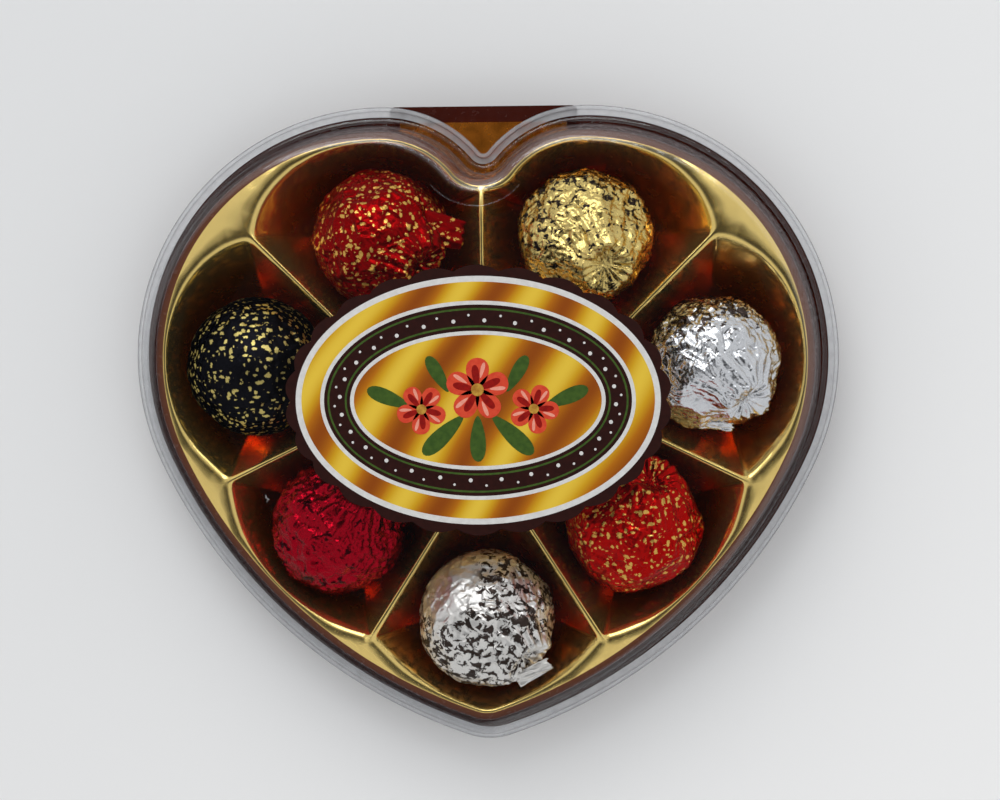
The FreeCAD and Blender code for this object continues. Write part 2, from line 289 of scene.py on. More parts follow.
def flecks(tree, size, low, high, bare=0.0):
    """Mask of scattered ragged flecks, drawn out in two directions; the size is their spacing in metres."""
    masks = []
    for turn, stretch in (((0.3, 0.7, 0.5), (0.5, 1, 1)), ((0.9, -0.4, 2.0), (1, 0.55, 1.1))):
        ragged = shaken(tree, 2.6 / size, 0.7 * size)
        at = add(tree, "Mapping", {"Vector": ragged, "Rotation": turn, "Scale": stretch})
        cells = add(tree, "TexVoronoi", {"Vector": at.outputs[0], "Scale": 0.8 / size})
        chance = add(tree, "SeparateColor", {0: cells.outputs["Color"]}).outputs[0]
        rare = math_node(tree, "POWER", chance, 2.0)
        limit = math_node(tree, "SUBTRACT", spread(tree, rare, 0.0, 1.0, low, high), bare)
        over = math_node(tree, "SUBTRACT", limit, cells.outputs["Distance"])
        masks.append(math_node(tree, "MULTIPLY", over, 22.0, True))
    return math_node(tree, "MAXIMUM", *masks)


def flakes(tree, size, share, bare=0.0):
    """Mask of crowded flakes that cover about that share of the surface."""
    field = math_node(tree, "SUBTRACT", noise(tree, 1 / size, 3.0, 0.6, 0.6).outputs["Fac"], bare)
    edge = 0.5 + (0.5 - share) * 0.32
    return spread(tree, field, edge - 0.02, edge + 0.02)


def toward(tree, centre, axis, low, high, most=1.0):
    """Mask that grows along an axis from a centre, in millimetres."""
    away = add(tree, "VectorMath", {0: place(tree), 1: [v / 1000 for v in centre]}, operation="SUBTRACT")
    along = add(tree, "VectorMath", {0: away.outputs[0], 1: axis}, operation="DOT_PRODUCT").outputs["Value"]
    return spread(tree, along, low / 1000, high / 1000, 0.0, most)


def gold_sheet():
    """Bright gold sheet, a little wavy, with painted shade: its colour turns dark amber deeper down in the
    pockets.
    """
    m, tree, shader = material("gold_sheet", Metallic=0.93, Specular_Tint=(1.0, 0.48, 0.1, 1))
    shade_from, shade_full = 0.0189, 0.0125
    tone = noise(tree, 60, 2.0).outputs["Fac"]
    # Painted shade: this mask grows towards the pocket floors, where the colour turns dark amber; the gold
    # also gets rougher there
    drawn = spread(tree, height_at(tree), shade_from, shade_full)
    bright = mix(tree, tone, (0.84, 0.60, 0.18, 1), (0.92, 0.69, 0.25, 1))
    amber = mix(tree, tone, (0.78, 0.225, 0.02, 1), (0.86, 0.30, 0.04, 1))
    tree.links.new(mix(tree, drawn, bright, amber), shader.inputs["Base Color"])
    grain = spread(tree, noise(tree, 400, 3.0).outputs["Fac"], 0.3, 0.7, 0.12, 0.19)
    tree.links.new(math_node(tree, "MULTIPLY_ADD", drawn, 0.1, third=grain), shader.inputs["Roughness"])
    bump(tree, shader, noise(tree, 130, 1.0).outputs["Fac"], 0.3, 0.0012)
    return m


def brown_plastic(name, painted_amber_from=None):
    """Glossy dark-brown plastic with faint flow marks, which may turn amber above a height in metres as
    painted shade.
    """
    m, tree, shader = material(name, Specular_IOR_Level=0.3)
    painted_amber_rise = 0.0018
    tone = noise(tree, 90, 4.0).outputs["Fac"]
    colour = mix(tree, tone, srgb(52, 15, 8), srgb(70, 24, 14))
    # Painted shade: amber towards the top
    if painted_amber_from:
        amber = spread(tree, height_at(tree), painted_amber_from, painted_amber_from + painted_amber_rise)
        colour = mix(tree, amber, colour, srgb(140, 76, 22))
    tree.links.new(colour, shader.inputs["Base Color"])
    grain = noise(tree, 700, 3.0).outputs["Fac"]
    tree.links.new(spread(tree, grain, 0.3, 0.7, 0.16, 0.3), shader.inputs["Roughness"])
    bump(tree, shader, noise(tree, 500, 2.0).outputs["Fac"], 0.08, 0.0004)
    return m


def clear_plastic(name, painted_haze, tint):
    """Clear sheet: see-through from the front and glossy at a slant, with a few fine specks and a painted
    veil in the given colour, pale for painted light and dark for painted shade.
    """
    m, tree, shader = material(name)
    tree.nodes.remove(shader)
    slant = add(tree, "LayerWeight", {"Blend": 0.5}).outputs["Facing"]
    sheen = math_node(tree, "MULTIPLY_ADD", math_node(tree, "POWER", slant, 5.0), 0.11, third=0.035)
    rough = spread(tree, noise(tree, 300, 4.0).outputs["Fac"], 0.35, 0.7, 0.02, 0.06)
    gloss = add(tree, "BsdfGlossy", {"Color": (1, 1, 1, 1), "Roughness": rough})
    clear = add(tree, "BsdfTransparent", {"Color": (0.96, 0.965, 0.97, 1)})
    film = add(tree, "MixShader", {0: sheen, 1: clear.outputs[0], 2: gloss.outputs[0]})
    # Painted light and shade: a streaky diffuse veil in the given colour
    painted_haze_streaks = spread(tree, noise(tree, 260, 3.0).outputs["Fac"], 0.3, 0.7, 0.8 * painted_haze, 1.2 * painted_haze)
    specks = math_node(tree, "MULTIPLY", flecks(tree, 0.006, -0.4, 0.05), 0.5)
    dust_and_painted_haze = math_node(tree, "MAXIMUM", painted_haze_streaks, specks)
    white = add(tree, "BsdfDiffuse", {"Color": tint})
    full = add(tree, "MixShader", {0: dust_and_painted_haze, 1: film.outputs[0], 2: white.outputs[0]})
    tree.links.new(full.outputs[0], tree.nodes["Material Output"].inputs["Surface"])
    return m


def foil(name, centre, ground, fleck, size, rough, flecked=None, share=0.5, plain=None, solid=(), edge=0.9):
    """Foil with printed flecks, scattered ones where flecked is given and else crowded ones.

    One side may be plain, sides may be solid in the flecks' colour, and edge is the shine at a slant.
    """
    m, tree, shader = material(name, Metallic=1.0, Specular_Tint=(edge, edge, edge, 1))
    bare = toward(tree, centre, aim(*plain[:2]), *plain[2:]) if plain else 0.0
    mask = flecks(tree, size, *flecked, bare) if flecked else flakes(tree, size, share, bare)
    for turn, tilt, low, high in solid:
        mask = math_node(tree, "MAXIMUM", mask, toward(tree, centre, aim(turn, tilt), low, high))
    tone = noise(tree, 220, 3.0).outputs["Fac"]
    dim = tuple(v * 0.75 for v in ground[:3]) + (1.0,)
    tree.links.new(mix(tree, mask, mix(tree, tone, dim, ground), fleck), shader.inputs["Base Color"])
    grain = noise(tree, 900, 3.0).outputs["Fac"]
    tree.links.new(spread(tree, grain, 0.3, 0.7, rough - 0.08, rough + 0.08), shader.inputs["Roughness"])
    bump(tree, shader, noise(tree, 1400, 3.0, 0.6).outputs["Fac"], 0.3, 0.0003)
    return m


def speckled(name, dark, light, scale, rough):
    """Matt food surface with grains in two colours."""
    m, tree, shader = material(name, Roughness=rough)
    grain = add(tree, "TexVoronoi", {"Vector": shaken(tree, scale, 0.3 / scale), "Scale": scale})
    tree.links.new(mix(tree, grain.outputs["Distance"], dark, light), shader.inputs["Base Color"])
    bump(tree, shader, grain.outputs["Distance"], 0.6, 0.0006)
    return m


def print_ink(name, colour, second):
    """Printed colour with a fine screen of a second tone, under gloss."""
    m, tree, shader = material(name, Roughness=0.28)
    tone = spread(tree, noise(tree, 900, 3.0).outputs["Fac"], 0.35, 0.65)
    tree.links.new(mix(tree, tone, colour, second), shader.inputs["Base Color"])
    return m


def satin_print():
    """Printed gold satin with soft slanting folds."""
    m, tree, shader = material("satin_print", Roughness=0.28)
    slanting = add(tree, "Mapping", {"Vector": place(tree), "Rotation": (0, 0, 0.6)}).outputs[0]
    folds = add(tree, "TexWave", {
        "Vector": slanting, "Scale": 22.0, "Distortion": 5.0, "Detail": 1.5, "Detail Scale": 0.6,
    })
    ramp = add(tree, "ValToRGB", {0: folds.outputs["Fac"]})
    ramp.color_ramp.elements[0].color = srgb(140, 68, 8)
    ramp.color_ramp.elements[1].color = srgb(226, 190, 62)
    for at, colour in ((0.35, srgb(176, 104, 12)), (0.7, srgb(205, 156, 28))):
        ramp.color_ramp.elements.new(at).color = colour
    tree.links.new(ramp.outputs[0], shader.inputs["Base Color"])
    return m


GOLD = gold_sheet()
BROWN = brown_plastic("brown_plastic")
# Painted dark reflection: the gold tray's border and flange in brown, with painted amber shade towards the
# lands
BORDER = brown_plastic("border_painted_reflection", 0.0184)
CLEAR = clear_plastic("clear_plastic", 0.0, (0.8, 0.8, 0.8, 1))
# Painted light: a whitish veil on the brim's outer part
PAINTED_BRIM_LIGHT = clear_plastic("brim_painted_light", 0.34, (0.84, 0.85, 0.87, 1))
# Painted shade: a dark grey line along the brim's very edge
EDGE = clear_plastic("brim_edge_painted_shade", 0.6, (0.3, 0.3, 0.31, 1))


# Lid

def lid():
    """Clear lid with rounded edges, as one closed sheet whose brim has painted light and a painted dark line
    at its very edge.
    """
    inside = rounded([
        (FACE_INSET, LID_INNER_TOP, 0),
        (INNER_WALL_TOP, LID_INNER_TOP, 2.4),
        (INNER_WALL_FOOT, FLANGE_TOP, 0),
    ], 9)
    outside = rounded([
        (INNER_WALL_FOOT, FLANGE_TOP, 0), (CLEAR_FROM, FLANGE_TOP, 0), (0.0, FLANGE_TOP, 0.2),
        (0.0, BEAD_TOP, 0.3), (BEAD_WIDTH, BEAD_TOP, 0.3), (BEAD_WIDTH, BRIM_TOP, 0.25),
        (OUTER_WALL_FOOT, BRIM_TOP, 1.8), (OUTER_WALL_TOP, LID_TOP, 3.2), (FACE_INSET, LID_TOP, 0),
    ], 9)
    profile = np.concatenate([inside, outside[1:]])
    rows = [raised(ring(x), z) for x, z in profile]
    numbers = ring_numbers(len(rows))
    faces = sum((strip(a, b) for a, b in zip(numbers, numbers[1:])), [])
    total = len(rows) * COUNT
    face_edge = ring(FACE_INSET)
    for last, z in ((numbers[0], LID_INNER_TOP), (numbers[-1], LID_TOP)):
        for share in (0.75, 0.5, 0.25):
            rows.append(raised(HUB + (face_edge - HUB) * share, z))
            row = np.arange(COUNT) + total
            total += COUNT
            faces += strip(last, row)
            last = row
        rows.append(np.array([[HUB[0], HUB[1], z]]))
        faces += [[a, b, total] for a, b in zip(last, np.roll(last, -1))]
        total += 1
    obj = build("lid_clear", np.concatenate(rows), faces, CLEAR)
    obj.data.materials.append(PAINTED_BRIM_LIGHT)
    obj.data.materials.append(EDGE)
    # Brim faces get painted light, and the outermost ones a painted dark line
    for k, (x, z) in enumerate((profile[:-1] + profile[1:]) / 2):
        at_edge = x < 0.2
        on_brim = x < CLEAR_FROM and z < BEAD_TOP + 0.5
        paint_slot = 2 if at_edge else 1 if on_brim else 0
        for face in range(k * COUNT, (k + 1) * COUNT):
            obj.data.polygons[face].material_index = paint_slot
    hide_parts("lid_shell")
    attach(obj, "lid")


# Tray

def land(points):
    """Height of the tray's lands: a cambered border round a flat middle."""
    depth = np.clip((inset_at(points) - SHOULDER_INSET) / CAMBER_WIDTH, 0, 1)
    return TRAY_TOP - (TRAY_TOP - SHOULDER_Z) * (1 - depth) ** 1.6


def hit(line, origin, direction):
    """Distance along a ray to a closed line."""
    a, b = line - origin, np.roll(line, -1, 0) - origin
    edge = b - a
    cross = direction[0] * edge[:, 1] - direction[1] * edge[:, 0]
    cross = np.where(np.abs(cross) < 1e-9, 1e-9, cross)
    along = (a[:, 0] * edge[:, 1] - a[:, 1] * edge[:, 0]) / cross
    share = (a[:, 0] * direction[1] - a[:, 1] * direction[0]) / cross
    good = (share >= 0) & (share <= 1) & (along > 1e-6)
    return along[good].min()


def ridge(i):
    """Outward direction of the ridge before a pocket, the point between its seats, and its outer end."""
    before, seat = np.array(SEATS[i - 1][1]), np.array(SEATS[i][1])
    middle = (before + seat) / 2
    across = (seat - before) / np.linalg.norm(seat - before)
    outward = np.array([across[1], -across[0]])
    return outward, middle, middle + outward * (hit(ring(RIM_INSET), middle, outward) - SEATS[i][2])


def mouth(i):
    """Function that gives the reach of a pocket's mouth along directions from its seat."""
    sharpness = 2.2
    seat = np.array(SEATS[i][1])
    rim = ring(RIM_INSET)
    sides = []
    for index, turn in ((i, 1), ((i + 1) % POCKETS, -1)):
        outward, _, end = ridge(index)
        inward = turn * np.array([-outward[1], outward[0]])
        sides.append((end + inward * RIDGE_HALF, inward))
    angles = [math.atan2(*(corner - seat)[::-1]) for corner, _ in sides]
    span = (angles[1] - angles[0]) % (2 * math.pi)
    stops = []
    for corner, _ in sides:
        away = np.linalg.norm(corner - seat)
        stops.append(hit(rim, seat, (corner - seat) / away) - away)

    def to_rim(direction):
        """Reach to the rim, which ends at the ridges' ends, or nothing well beside it."""
        angle = math.atan2(direction[1], direction[0])
        share = ((angle - angles[0] + 0.6) % (2 * math.pi) - 0.6) / span
        if not -0.3 < share < 1.3:
            return []
        inside = min(max(share, 0), 1)
        stop = stops[0] * (1 - inside) ** 7 + stops[1] * inside ** 7
        return [hit(rim, seat, direction) - stop]

    def to_hub(direction):
        """Reach to the hub, or nothing beside it."""
        centre = HUB - seat
        along = centre @ direction
        gap = HUB_R ** 2 - centre @ centre + along ** 2
        return [along - math.sqrt(gap)] if gap > 0 and along > 0 else []

    def reach(direction):
        """Least of the reaches to the rim, the ridges and the hub, rounded where they meet."""
        choices = to_rim(direction)
        for corner, inward in sides:
            facing = direction @ inward
            if facing < -1e-3:
                choices.append(-((seat - corner) @ inward) / facing)
        choices = np.array(choices + to_hub(direction))
        nearest = choices.min()
        return nearest - math.log(np.exp(-sharpness * (choices - nearest)).sum()) / sharpness

    return reach


def pocket_side(seat, point, reach):
    """Line from a pocket's floor up its wall and over its lip, towards a point of the lands round it."""
    steps, least_land = 6, 0.35
    away = np.linalg.norm(point[:2] - seat)
    direction = (point[:2] - seat) / away
    lip = min(reach(direction), away - least_land)
    lip_z = float(land([seat + direction * lip])[0])
    side = rounded([
        (0, POCKET_FLOOR, 0), (FLOOR_R, POCKET_FLOOR, FLOOR_CORNER),
        (lip, lip_z, LIP_CORNER), (away, point[2], 0),
    ], steps)
    foot = steps + 1
    wall = np.linspace(side[foot], side[foot + 1], 7)[1:-1]
    side = np.concatenate([side[1:foot + 1], wall, side[foot + 1:-1]])
    return np.column_stack([seat + side[:, :1] * direction, side[:, 1]])


def sheet(name, verts, faces, edges, mat):
    """Piece of the tray: a surface with its thickness below it, closed along its edges."""
    verts = np.array(verts)
    total = len(verts)
    below = [[k + total for k in reversed(f)] for f in faces]
    closing = sum((strip(edge, edge + total) for edge in edges), [])
    obj = build(name, np.concatenate([verts, verts - (0, 0, SHEET)]), faces + below + closing, mat)
    obj.data.set_sharp_from_angle(angle=math.radians(50))
    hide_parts("cavity_tray")
    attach(obj, "tray")
    return obj


def tray():
    """Gold lands, seven rounded pockets and the hub, as one closed thin sheet."""
    verts, faces = [], []

    def put(points):
        """Numbers of new vertices."""
        first = len(verts)
        verts.extend(np.asarray(points, float).tolist())
        return np.arange(first, len(verts))

    rim_points = ring(BORDER_INSET)
    rim = put(raised(rim_points, land(rim_points)))
    nodes, hub_nodes = [], []
    for i in range(POCKETS):
        outward, middle, _ = ridge(i)
        outside = middle + outward * hit(rim_points, middle, outward)
        nodes.append(int(((rim_points - outside) ** 2).sum(1).argmin()))
        offset = middle - HUB
        along = offset @ outward
        half_chord = math.sqrt(HUB_LAND_R ** 2 - offset @ offset + along ** 2)
        hub_nodes.append(middle - outward * (along - half_chord))
    crests, hub_arcs = [], []
    for i in range(POCKETS):
        start, end = hub_nodes[i], rim_points[nodes[i]]
        share = 1 - (1 - np.linspace(0, 1, 42)) ** 1.5
        line = start + (end - start) * share[:, None]
        inner = put(raised(line[:-1], land(line[:-1])))
        crests.append(np.append(inner, rim[nodes[i]]))
    for i in range(POCKETS):
        first, last = hub_nodes[i] - HUB, hub_nodes[(i + 1) % POCKETS] - HUB
        start = math.atan2(first[1], first[0])
        turn = (math.atan2(last[1], last[0]) - start) % (2 * math.pi)
        angle = start + turn * np.linspace(0, 1, 18)[1:-1]
        arc = HUB + HUB_LAND_R * np.column_stack([np.cos(angle), np.sin(angle)])
        hub_arcs.append(put(raised(arc, TRAY_TOP)))

    for i in range(POCKETS):
        after = (i + 1) % POCKETS
        run = (nodes[after] - nodes[i]) % COUNT
        along_rim = rim[(nodes[i] + np.arange(1, run)) % COUNT]
        border = np.concatenate([crests[i], along_rim, crests[after][::-1], hub_arcs[i][::-1]])
        seat = np.array(SEATS[i][1])
        reach = mouth(i)
        edge = np.array([verts[k] for k in border])
        columns = np.array([pocket_side(seat, point, reach) for point in edge])
        centre = put([[seat[0], seat[1], POCKET_FLOOR]])[0]
        rows = [put(columns[:, k]) for k in range(columns.shape[1])]
        for step in (0.2, 0.4, 0.6, 0.76, 0.88, 0.96):
            flat = columns[:, -1, :2] + (edge[:, :2] - columns[:, -1, :2]) * step
            rows.append(put(raised(flat, land(flat))))
        rows.append(border)
        for a, b in zip(rows, rows[1:]):
            faces += strip(b, a)
        faces += [[centre, a, b] for a, b in zip(rows[0], np.roll(rows[0], -1))]

    circle = np.concatenate([[crests[i][0], *hub_arcs[i]] for i in range(POCKETS)])
    middle = put([[HUB[0], HUB[1], TRAY_TOP]])[0]
    points = np.array([verts[k] for k in circle])
    inner = put(raised(HUB + (points[:, :2] - HUB) * 0.5, TRAY_TOP))
    faces += strip(circle, inner)
    faces += [[middle, a, b] for a, b in zip(inner, np.roll(inner, -1))]
    sheet("tray_gold", verts, faces, [rim[::-1]], GOLD)


def tray_border():
    """The tray's flange, gold in the notch, and the border that rises to its gold lands; elsewhere both are
    dark brown as a painted dark reflection of the gold sheet.
    """
    notch_half, notch_from = 0.0175, 0.04
    foot = ring(PLUG_FOOT_INSET)
    outer = ring(FLANGE_INSET)
    bridged = (np.abs(OUTLINE[:, 0]) < LOBE_X) & (OUTLINE[:, 1] > 0)
    outer[bridged] = np.column_stack([foot[bridged, 0], np.full(bridged.sum(), outer[:, 1].max())])
    top = land(ring(BORDER_INSET))
    side = rounded([
        (PLUG_FOOT_INSET - 0.4, FLANGE_TOP, 0), (PLUG_FOOT_INSET, FLANGE_TOP, 0.35),
        (SHOULDER_INSET, SHOULDER_Z, 0.9), (BORDER_INSET, float(top.mean()), 0),
    ])
    foot_row = raised(ring(side[1, 0]), side[1, 1])
    flange = [raised(outer, FLANGE_TOP), raised((outer + foot) / 2, FLANGE_TOP), foot_row]
    wall = [foot_row] + [raised(ring(x), z) for x, z in side[2:-1]] + [raised(ring(BORDER_INSET), top)]
    for name, rows in (("tray_flange", flange), ("tray_border", wall)):
        numbers = ring_numbers(len(rows))
        faces = sum((strip(a, b) for a, b in zip(numbers, numbers[1:])), [])
        edges = [numbers[0][::-1], numbers[-1]]
        obj = sheet(name, np.concatenate(rows), faces, edges, BORDER)
        obj.data.materials.append(GOLD)
        for face in obj.data.polygons:
            in_notch = abs(face.center.x) < notch_half and face.center.y > notch_from
            face.material_index = int(name == "tray_flange" and in_notch)


def base_rim():
    """Narrow dark rim of the base, just under the lid's brim."""
    section = [
        (RIM_ROOT, RIM_LOW), (RIM_EDGE + RIM_BEVEL, RIM_LOW), (RIM_EDGE, RIM_LOW + RIM_BEVEL),
        (RIM_EDGE, RIM_HIGH - RIM_BEVEL), (RIM_EDGE + RIM_BEVEL, RIM_HIGH), (RIM_ROOT, RIM_HIGH),
    ]
    numbers = ring_numbers(len(section))
    faces = sum((strip(a, b) for a, b in zip(numbers, numbers[1:] + numbers[:1])), [])
    obj = build("base_rim", np.concatenate([raised(ring(x), z) for x, z in section]), faces, BROWN)
    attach(obj, "base")


# Pralines

def smooth(value, low, high):
    """Soft step from 0 to 1."""
    t = np.clip((value - low) / (high - low), 0, 1)
    return t * t * (3 - 2 * t)


def zigzag(phase):
    """Sharp wave from 0 to 1, once for each whole number of the phase."""
    return np.abs(phase % 1 - 0.5) * 2


def random_units(rng, count):
    """Random directions."""
    units = rng.normal(size=(count, 3))
    return units / np.linalg.norm(units, axis=1)[:, None]


def patches(unit, rng, count, soft):
    """Height field of tilted patches that meet in creases."""
    seeds = random_units(rng, count)
    tilts = rng.normal(size=(count, 3))
    near = unit @ seeds.T
    order = np.argpartition(-near, 2, axis=1)[:, :2]
    pair = np.take_along_axis(near, order, 1)
    swap = pair[:, 0] < pair[:, 1]
    order[swap] = order[swap][:, ::-1]
    angles = np.arccos(np.clip(pair, -1, 1))
    blend = 0.5 + 0.5 * smooth(np.abs(angles[:, 0] - angles[:, 1]), 0, soft)
    heights = [((unit - seeds[k]) * tilts[k]).sum(1) for k in (order[:, 0], order[:, 1])]
    return heights[0] * blend + heights[1] * (1 - blend)


def fold(unit, middle, across, half_length, width):
    """Valley along a great circle, with one sharp side and one soft side."""
    side = unit @ across
    fade = smooth(unit @ middle, math.cos(half_length), math.cos(half_length * 0.35))
    return fade * np.where(side < 0, np.exp(side / width), np.exp(-side / (4 * width)))


def creases(unit, rng, count, width):
    """Depth of many short folds that run every way."""
    depth = np.zeros(len(unit))
    for middle in random_units(rng, count):
        across = np.cross(middle, random_units(rng, 1)[0])
        across /= np.linalg.norm(across)
        depth += rng.uniform(0.25, 1) * fold(unit, middle, across, rng.uniform(0.12, 0.5), width)
    return depth


def cleft(unit, turn, tilt, heading, half_length, depth, width):
    """Depth of one chosen fold, from the place of its middle and its heading in degrees."""
    middle = aim(turn, tilt)
    along = np.cross(middle, [0, 0, 1])
    along /= np.linalg.norm(along)
    heading = math.radians(heading)
    across = along * math.sin(heading) + np.cross(middle, along) * math.cos(heading)
    return depth * fold(unit, middle, across, half_length, width)


def facets(unit, rng, count, depth, cuts):
    """Reach of a unit ball cut by random planes and by chosen ones."""
    sides = random_units(rng, count)
    level = 1 - rng.uniform(0, depth, count)
    for turn, tilt, kept in cuts:
        sides = np.concatenate([sides, [aim(turn, tilt)]])
        level = np.append(level, kept)
    facing = unit @ sides.T
    return np.minimum(np.where(facing > 0.3, level / np.maximum(facing, 0.3), 9).min(1), 1.0)


def flap(rng, root, tip, width, normal):
    """Loose strip of foil from a root to a ragged tip, as a thin closed sheet."""
    rows, columns, thickness = 22, 14, 0.12
    root, tip, normal = np.array(root, float), np.array(tip, float), np.array(normal, float)
    across = np.cross(normal, tip - root)
    across *= width / np.linalg.norm(across)
    normal /= np.linalg.norm(normal)
    ragged = rng.uniform(0.91, 1.0, columns + 1)
    top = []
    for i in range(rows + 1):
        u = i / rows
        for j in range(columns + 1):
            v = j / columns - 0.5
            pleat = abs((2.6 * v + 0.8 * u) % 1 - 0.5) + 0.5 * abs((1.9 * u - 1.7 * v) % 1 - 0.5)
            lift = 0.5 * math.sin(3.1 * u + 4 * v) * u + 0.9 * pleat + rng.uniform(-0.05, 0.05)
            top.append(root + (tip - root) * u * ragged[j] + across * v * (1 - 0.25 * u) + normal * lift)
    top = np.array(top)
    number = np.arange(len(top)).reshape(rows + 1, columns + 1)
    quads = np.stack([number[:-1, :-1], number[1:, :-1], number[1:, 1:], number[:-1, 1:]], -1).reshape(-1, 4)
    border = np.concatenate([number[0, :-1], number[:-1, -1], number[-1, :0:-1], number[:0:-1, 0]])
    faces = quads.tolist() + (quads[:, ::-1] + len(top)).tolist() + strip(border, border + len(top))
    return np.concatenate([top, top - thickness * normal]), faces


def ball(subdivisions):
    """Unit points and faces of a fine ball."""
    bpy.ops.mesh.primitive_ico_sphere_add(subdivisions=subdivisions, radius=1)
    obj = bpy.context.object
    unit = np.array([v.co[:] for v in obj.data.vertices])
    faces = [list(p.vertices) for p in obj.data.polygons]
    bpy.data.objects.remove(obj)
    return unit / np.linalg.norm(unit, axis=1)[:, None], faces


def wrap(name, centre, axis, seed, mat, cut, planes, rough, pleats, calm=None, cuts=(), clefts=(), flaps=()):
    """Foil round one praline: faceted and creased, drawn into a pleated end along an axis."""
    unit, faces = ball(7)
    rng = np.random.default_rng(seed)
    side = np.cross(axis, [0.3, 0.5, 0.81])
    side /= np.linalg.norm(side)
    polar = np.arccos(np.clip(unit @ axis, -1, 1))
    turn = np.arctan2(unit @ np.cross(axis, side), unit @ side) * pleats / (2 * math.pi)

    # Ball with a gathered end, cut into facets
    cone = CONE_AWAY / (CONE_ACROSS * np.sin(polar) + CONE_ALONG * np.cos(polar))
    gathered = np.minimum(cone, GATHER_END / np.maximum(np.cos(polar), 0.2))
    reach = np.where(polar < GATHER_START, gathered, PRALINE_R)
    reach *= facets(unit, rng, planes, cut, cuts)

    # Pleats that run to the gathered end and wander on their way
    wander = patches(unit, rng, 60, 0.3)
    near_end = smooth(-polar, -math.radians(75), -math.radians(18))
    reach -= (0.05 + 0.75 * near_end) * zigzag(turn + 0.9 * wander)
    reach -= 0.14 * smooth(-polar, -2.6, -0.5) * zigzag(3.1 * turn + 2.2 * wander)

    # Crumple, less of it on the calm side, the dimple of the gathered end and chosen clefts
    if calm:
        rough = rough * (1 - 0.55 * smooth(unit @ aim(*calm), 0.35, 0.75))
    reach -= rough * (6 * np.abs(patches(unit, rng, 240, 0.04)) + 7 * np.abs(patches(unit, rng, 1000, 0.02)))
    reach -= rough * (0.8 * creases(unit, rng, 90, 0.02) + 0.5 * creases(unit, rng, 160, 0.01))
    reach -= 1.6 * smooth(-polar, -math.radians(20), 0)
    for chosen in clefts:
        reach -= cleft(unit, *chosen)

    # The foil stays clear of the coat, of the pocket's floor and of its neighbours
    reach = np.clip(reach + 0.5, COAT_R + 0.1, np.maximum(PRALINE_R + 0.2, gathered))
    points = np.array(centre) + unit * reach[:, None]
    points[:, 2] = np.maximum(points[:, 2], POCKET_FLOOR + 0.07)
    for root, tip, width, normal in flaps:
        more, quads = flap(rng, np.add(centre, root), np.add(centre, tip), width, normal)
        faces = faces + [[k + len(points) for k in q] for q in quads]
        points = np.concatenate([points, more])
    obj = build(name + "_wrap", points, faces, mat)
    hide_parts(name + "_praline_foil")
    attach(obj, "tray")
    return obj


def coat(name, centre, seed, mat):
    """Coat of chopped nuts and chocolate under one foil, hollow for its filling."""
    unit, faces = ball(5)
    rng = np.random.default_rng(seed)
    chips = np.abs(patches(unit, rng, 300, 0.05)) * 3
    outer = unit * (COAT_R - np.minimum(chips, 0.9))[:, None]
    inner, inner_faces = ball(4)
    points = np.concatenate([outer, inner * FILLING_R]) + np.array(centre)
    faces = faces + [[k + len(outer) for k in reversed(f)] for f in inner_faces]
    obj = build(name + "_coat", points, faces, mat)
    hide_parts(name + "_praline_coat")
    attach(obj, "tray")


DEEP_RED, RED, CRIMSON, DARK_CRIMSON = srgb(146, 6, 8), srgb(188, 15, 12), srgb(168, 8, 30), srgb(50, 2, 8)
WARM_GOLD, COOL_GOLD, PALE_GOLD = (0.76, 0.44, 0.10, 1), (0.66, 0.53, 0.17, 1), (0.88, 0.66, 0.23, 1)
SILVER, WARM_SILVER = (0.82, 0.82, 0.835, 1), (0.82, 0.79, 0.75, 1)
COAL, SOOT, UMBER = (0.008, 0.008, 0.011, 1), (0.03, 0.02, 0.016, 1), (0.06, 0.043, 0.036, 1)


